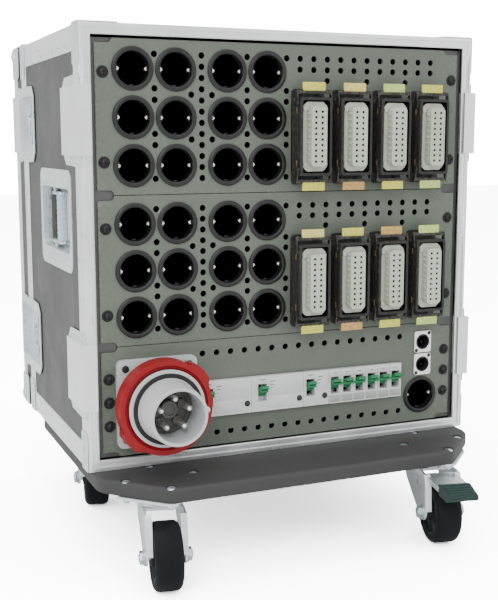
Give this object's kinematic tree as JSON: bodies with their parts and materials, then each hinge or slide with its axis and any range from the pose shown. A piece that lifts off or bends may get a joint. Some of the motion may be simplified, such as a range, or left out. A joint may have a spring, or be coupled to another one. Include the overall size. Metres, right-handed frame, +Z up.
{
  "type": "portable power distribution box",
  "caption": "Portable power distribution rack in a grey flight case on a castor board, with earthed sockets, multi-pin connectors, breakers and a supply inlet",
  "frame": {"origin": "on the floor, under the middle of the whole object's box", "axes": "+Z up, +Y from the front panels into the case, +X to the right of someone facing the panels"},
  "size_m": [0.53, 0.5549, 0.647],
  "materials": {
    "board_coating": "black textured coating on plywood",
    "zinc_steel": "zinc-plated pressed sheet",
    "case_laminate": "mid-grey laminate on plywood",
    "case_aluminium": "satin extrusion",
    "panel_coating": "grey-green coat on sheet steel",
    "socket_plastic": "black moulded",
    "housing_coating": "black die casting",
    "insert_plastic": "light grey moulded",
    "inlet_plastic": "light grey moulded",
    "breaker_plastic": "light grey moulded",
    "screw_steel": "black screws and washers, zinc bolts below",
    "castor_rubber": "black rubber tyre on a moulded centre",
    "pedal_plastic": "dark green moulded",
    "grip_plastic": "light bluish grey sleeve",
    "lever_plastic": "black bow with a yellow-green pad",
    "ring_plastic": "red moulded",
    "toggle_plastic": "green moulded",
    "button_plastic": "black moulded"
  },
  "bodies": {
    "rack": {"dolly_board": "board_coating", "castor_plates": "zinc_steel", "case_panels": "case_laminate", "case_frame": "case_aluminium", "latch_dishes": "zinc_steel", "handle_dishes": "zinc_steel", "outlet_panels": "panel_coating", "inlet_panel": "panel_coating", "panel_sockets": "socket_plastic", "multipin_housings": "housing_coating", "multipin_inserts": "insert_plastic", "supply_inlet": "inlet_plastic", "breakers": "breaker_plastic", "fasteners": "screw_steel"},
    "castor_fork_front_left": {"castor_fork_front_left": "zinc_steel"},
    "castor_wheel_front_left": {"castor_wheel_front_left": "castor_rubber"},
    "castor_fork_front_right": {"castor_fork_front_right": "zinc_steel"},
    "castor_wheel_front_right": {"castor_wheel_front_right": "castor_rubber"},
    "brake_pedal_front_right": {"brake_pedal_front_right": "pedal_plastic"},
    "castor_fork_rear_left": {"castor_fork_rear_left": "zinc_steel"},
    "castor_wheel_rear_left": {"castor_wheel_rear_left": "castor_rubber"},
    "castor_fork_rear_right": {"castor_fork_rear_right": "zinc_steel"},
    "castor_wheel_rear_right": {"castor_wheel_rear_right": "castor_rubber"},
    "brake_pedal_rear_right": {"brake_pedal_rear_right": "pedal_plastic"},
    "latch_wing_front_left_lower": {"latch_wing_front_left_lower": "zinc_steel"},
    "latch_wing_front_left_upper": {"latch_wing_front_left_upper": "zinc_steel"},
    "latch_wing_front_right_lower": {"latch_wing_front_right_lower": "zinc_steel"},
    "latch_wing_front_right_upper": {"latch_wing_front_right_upper": "zinc_steel"},
    "latch_wing_rear_left_lower": {"latch_wing_rear_left_lower": "zinc_steel"},
    "latch_wing_rear_left_upper": {"latch_wing_rear_left_upper": "zinc_steel"},
    "latch_wing_rear_right_lower": {"latch_wing_rear_right_lower": "zinc_steel"},
    "latch_wing_rear_right_upper": {"latch_wing_rear_right_upper": "zinc_steel"},
    "handle_grip_left": {"handle_grip_left": "grip_plastic"},
    "handle_grip_right": {"handle_grip_right": "grip_plastic"},
    "lever_lower_1_top": {"lever_lower_1_top": "lever_plastic"},
    "lever_lower_1_bottom": {"lever_lower_1_bottom": "lever_plastic"},
    "lever_lower_2_top": {"lever_lower_2_top": "lever_plastic"},
    "lever_lower_2_bottom": {"lever_lower_2_bottom": "lever_plastic"},
    "lever_lower_3_top": {"lever_lower_3_top": "lever_plastic"},
    "lever_lower_3_bottom": {"lever_lower_3_bottom": "lever_plastic"},
    "lever_lower_4_top": {"lever_lower_4_top": "lever_plastic"},
    "lever_lower_4_bottom": {"lever_lower_4_bottom": "lever_plastic"},
    "lever_upper_1_top": {"lever_upper_1_top": "lever_plastic"},
    "lever_upper_1_bottom": {"lever_upper_1_bottom": "lever_plastic"},
    "lever_upper_2_top": {"lever_upper_2_top": "lever_plastic"},
    "lever_upper_2_bottom": {"lever_upper_2_bottom": "lever_plastic"},
    "lever_upper_3_top": {"lever_upper_3_top": "lever_plastic"},
    "lever_upper_3_bottom": {"lever_upper_3_bottom": "lever_plastic"},
    "lever_upper_4_top": {"lever_upper_4_top": "lever_plastic"},
    "lever_upper_4_bottom": {"lever_upper_4_bottom": "lever_plastic"},
    "bayonet_ring": {"bayonet_ring": "ring_plastic"},
    "rcd_toggle_1": {"rcd_toggle_1": "toggle_plastic"},
    "rcd_toggle_2": {"rcd_toggle_2": "toggle_plastic"},
    "rcd_toggle_3": {"rcd_toggle_3": "toggle_plastic"},
    "mcb_handle_1": {"mcb_handle_1": "toggle_plastic"},
    "mcb_handle_2": {"mcb_handle_2": "toggle_plastic"},
    "test_button_1": {"test_button_1": "button_plastic"},
    "test_button_2": {"test_button_2": "button_plastic"},
    "test_button_3": {"test_button_3": "button_plastic"},
    "rear_lid": {"rear_lid": "case_laminate"}
  },
  "joints": [
    {"name": "swivel_front_left", "type": "hinge", "parent": "rack", "child": "castor_fork_front_left", "pos_m": [-0.186, -0.16354, 0.0926], "axis": [0, 0, 1], "continuous": true},
    {"name": "wheel_spin_front_left", "type": "hinge", "parent": "castor_fork_front_left", "child": "castor_wheel_front_left", "pos_m": [-0.1926, -0.20096, 0.04], "axis": [0.9848, -0.1736, 0], "continuous": true},
    {"name": "swivel_front_right", "type": "hinge", "parent": "rack", "child": "castor_fork_front_right", "pos_m": [0.186, -0.16354, 0.0926], "axis": [0, 0, 1], "continuous": true},
    {"name": "wheel_spin_front_right", "type": "hinge", "parent": "castor_fork_front_right", "child": "castor_wheel_front_right", "pos_m": [0.1781, -0.20071, 0.04], "axis": [0.9781, -0.2079, 0], "continuous": true},
    {"name": "brake_front_right", "type": "hinge", "parent": "castor_fork_front_right", "child": "brake_pedal_front_right", "pos_m": [0.17893, -0.1968, 0.0871], "axis": [0.9781, -0.2079, 0], "range_deg": [0, 12]},
    {"name": "swivel_rear_left", "type": "hinge", "parent": "rack", "child": "castor_fork_rear_left", "pos_m": [-0.186, 0.14846, 0.0926], "axis": [0, 0, 1], "continuous": true},
    {"name": "wheel_spin_rear_left", "type": "hinge", "parent": "castor_fork_rear_left", "child": "castor_wheel_rear_left", "pos_m": [-0.19325, 0.11116, 0.04], "axis": [0.9816, -0.1908, 0], "continuous": true},
    {"name": "swivel_rear_right", "type": "hinge", "parent": "rack", "child": "castor_fork_rear_right", "pos_m": [0.186, 0.14846, 0.0926], "axis": [0, 0, 1], "continuous": true},
    {"name": "wheel_spin_rear_right", "type": "hinge", "parent": "castor_fork_rear_right", "child": "castor_wheel_rear_right", "pos_m": [0.17681, 0.11159, 0.04], "axis": [0.9703, -0.2419, 0], "continuous": true},
    {"name": "brake_rear_right", "type": "hinge", "parent": "castor_fork_rear_right", "child": "brake_pedal_rear_right", "pos_m": [0.17777, 0.11547, 0.0871], "axis": [0.9703, -0.2419, 0], "range_deg": [0, 12]},
    {"name": "latch_front_left_lower", "type": "hinge", "parent": "rack", "child": "latch_wing_front_left_lower", "pos_m": [-0.255, -0.09254, 0.2368], "axis": [0, 0, 1], "range_deg": [0, 90]},
    {"name": "latch_front_left_upper", "type": "hinge", "parent": "rack", "child": "latch_wing_front_left_upper", "pos_m": [-0.255, -0.09254, 0.5333], "axis": [0, 0, 1], "range_deg": [0, 90]},
    {"name": "latch_front_right_lower", "type": "hinge", "parent": "rack", "child": "latch_wing_front_right_lower", "pos_m": [0.255, -0.09254, 0.2368], "axis": [0, 0, -1], "range_deg": [0, 90]},
    {"name": "latch_front_right_upper", "type": "hinge", "parent": "rack", "child": "latch_wing_front_right_upper", "pos_m": [0.255, -0.09254, 0.5333], "axis": [0, 0, -1], "range_deg": [0, 90]},
    {"name": "latch_rear_left_lower", "type": "hinge", "parent": "rack", "child": "latch_wing_rear_left_lower", "pos_m": [-0.255, 0.18546, 0.2368], "axis": [0, 0, -1], "range_deg": [0, 90]},
    {"name": "latch_rear_left_upper", "type": "hinge", "parent": "rack", "child": "latch_wing_rear_left_upper", "pos_m": [-0.255, 0.18546, 0.5333], "axis": [0, 0, -1], "range_deg": [0, 90]},
    {"name": "latch_rear_right_lower", "type": "hinge", "parent": "rack", "child": "latch_wing_rear_right_lower", "pos_m": [0.255, 0.18546, 0.2368], "axis": [0, 0, 1], "range_deg": [0, 90]},
    {"name": "latch_rear_right_upper", "type": "hinge", "parent": "rack", "child": "latch_wing_rear_right_upper", "pos_m": [0.255, 0.18546, 0.5333], "axis": [0, 0, 1], "range_deg": [0, 90]},
    {"name": "grip_left", "type": "hinge", "parent": "rack", "child": "handle_grip_left", "pos_m": [-0.251, 0.05596, 0.4143], "axis": [0, 0, -1], "range_deg": [0, 90], "stiffness_Nm_per_rad": 0.2},
    {"name": "grip_right", "type": "hinge", "parent": "rack", "child": "handle_grip_right", "pos_m": [0.251, 0.05596, 0.4143], "axis": [0, 0, 1], "range_deg": [0, 90], "stiffness_Nm_per_rad": 0.2},
    {"name": "lever_lower_1_top_hinge", "type": "hinge", "parent": "rack", "child": "lever_lower_1_top", "pos_m": [0.0245, -0.13654, 0.37765], "axis": [1, 0, 0], "range_deg": [0, 95]},
    {"name": "lever_lower_1_bottom_hinge", "type": "hinge", "parent": "rack", "child": "lever_lower_1_bottom", "pos_m": [0.0245, -0.13654, 0.29765], "axis": [-1, 0, 0], "range_deg": [0, 95]},
    {"name": "lever_lower_2_top_hinge", "type": "hinge", "parent": "rack", "child": "lever_lower_2_top", "pos_m": [0.0803, -0.13654, 0.37765], "axis": [1, 0, 0], "range_deg": [0, 95]},
    {"name": "lever_lower_2_bottom_hinge", "type": "hinge", "parent": "rack", "child": "lever_lower_2_bottom", "pos_m": [0.0803, -0.13654, 0.29765], "axis": [-1, 0, 0], "range_deg": [0, 95]},
    {"name": "lever_lower_3_top_hinge", "type": "hinge", "parent": "rack", "child": "lever_lower_3_top", "pos_m": [0.1361, -0.13654, 0.37765], "axis": [1, 0, 0], "range_deg": [0, 95]},
    {"name": "lever_lower_3_bottom_hinge", "type": "hinge", "parent": "rack", "child": "lever_lower_3_bottom", "pos_m": [0.1361, -0.13654, 0.29765], "axis": [-1, 0, 0], "range_deg": [0, 95]},
    {"name": "lever_lower_4_top_hinge", "type": "hinge", "parent": "rack", "child": "lever_lower_4_top", "pos_m": [0.1919, -0.13654, 0.37765], "axis": [1, 0, 0], "range_deg": [0, 95]},
    {"name": "lever_lower_4_bottom_hinge", "type": "hinge", "parent": "rack", "child": "lever_lower_4_bottom", "pos_m": [0.1919, -0.13654, 0.29765], "axis": [-1, 0, 0], "range_deg": [0, 95]},
    {"name": "lever_upper_1_top_hinge", "type": "hinge", "parent": "rack", "child": "lever_upper_1_top", "pos_m": [0.0245, -0.13654, 0.55545], "axis": [1, 0, 0], "range_deg": [0, 95]},
    {"name": "lever_upper_1_bottom_hinge", "type": "hinge", "parent": "rack", "child": "lever_upper_1_bottom", "pos_m": [0.0245, -0.13654, 0.47545], "axis": [-1, 0, 0], "range_deg": [0, 95]},
    {"name": "lever_upper_2_top_hinge", "type": "hinge", "parent": "rack", "child": "lever_upper_2_top", "pos_m": [0.0803, -0.13654, 0.55545], "axis": [1, 0, 0], "range_deg": [0, 95]},
    {"name": "lever_upper_2_bottom_hinge", "type": "hinge", "parent": "rack", "child": "lever_upper_2_bottom", "pos_m": [0.0803, -0.13654, 0.47545], "axis": [-1, 0, 0], "range_deg": [0, 95]},
    {"name": "lever_upper_3_top_hinge", "type": "hinge", "parent": "rack", "child": "lever_upper_3_top", "pos_m": [0.1361, -0.13654, 0.55545], "axis": [1, 0, 0], "range_deg": [0, 95]},
    {"name": "lever_upper_3_bottom_hinge", "type": "hinge", "parent": "rack", "child": "lever_upper_3_bottom", "pos_m": [0.1361, -0.13654, 0.47545], "axis": [-1, 0, 0], "range_deg": [0, 95]},
    {"name": "lever_upper_4_top_hinge", "type": "hinge", "parent": "rack", "child": "lever_upper_4_top", "pos_m": [0.1919, -0.13654, 0.55545], "axis": [1, 0, 0], "range_deg": [0, 95]},
    {"name": "lever_upper_4_bottom_hinge", "type": "hinge", "parent": "rack", "child": "lever_upper_4_bottom", "pos_m": [0.1919, -0.13654, 0.47545], "axis": [-1, 0, 0], "range_deg": [0, 95]},
    {"name": "bayonet_turn", "type": "hinge", "parent": "rack", "child": "bayonet_ring", "pos_m": [-0.1746, -0.14854, 0.2018], "axis": [0, 1, 0], "range_deg": [0, 50]},
    {"name": "rcd_switch_1", "type": "hinge", "parent": "rack", "child": "rcd_toggle_1", "pos_m": [-0.1093, -0.11454, 0.1993], "axis": [1, 0, 0], "range_deg": [0, 50]},
    {"name": "rcd_switch_2", "type": "hinge", "parent": "rack", "child": "rcd_toggle_2", "pos_m": [-0.0373, -0.11454, 0.1993], "axis": [1, 0, 0], "range_deg": [0, 50]},
    {"name": "rcd_switch_3", "type": "hinge", "parent": "rack", "child": "rcd_toggle_3", "pos_m": [0.0297, -0.11454, 0.1993], "axis": [1, 0, 0], "range_deg": [0, 50]},
    {"name": "mcb_switch_1", "type": "hinge", "parent": "rack", "child": "mcb_handle_1", "pos_m": [0.0827, -0.11454, 0.1993], "axis": [1, 0, 0], "range_deg": [0, 50]},
    {"name": "mcb_switch_2", "type": "hinge", "parent": "rack", "child": "mcb_handle_2", "pos_m": [0.1367, -0.11454, 0.1993], "axis": [1, 0, 0], "range_deg": [0, 50]},
    {"name": "test_press_1", "type": "slide", "parent": "rack", "child": "test_button_1", "axis": [0, 1, 0], "range_m": [0, 0.0012], "stiffness_N_per_m": 300},
    {"name": "test_press_2", "type": "slide", "parent": "rack", "child": "test_button_2", "axis": [0, 1, 0], "range_m": [0, 0.0012], "stiffness_N_per_m": 300},
    {"name": "test_press_3", "type": "slide", "parent": "rack", "child": "test_button_3", "axis": [0, 1, 0], "range_m": [0, 0.0012], "stiffness_N_per_m": 300},
    {"name": "lid_off", "type": "slide", "parent": "rack", "child": "rear_lid", "axis": [0, 1, 0], "range_m": [0, 0.15]}
  ]
}
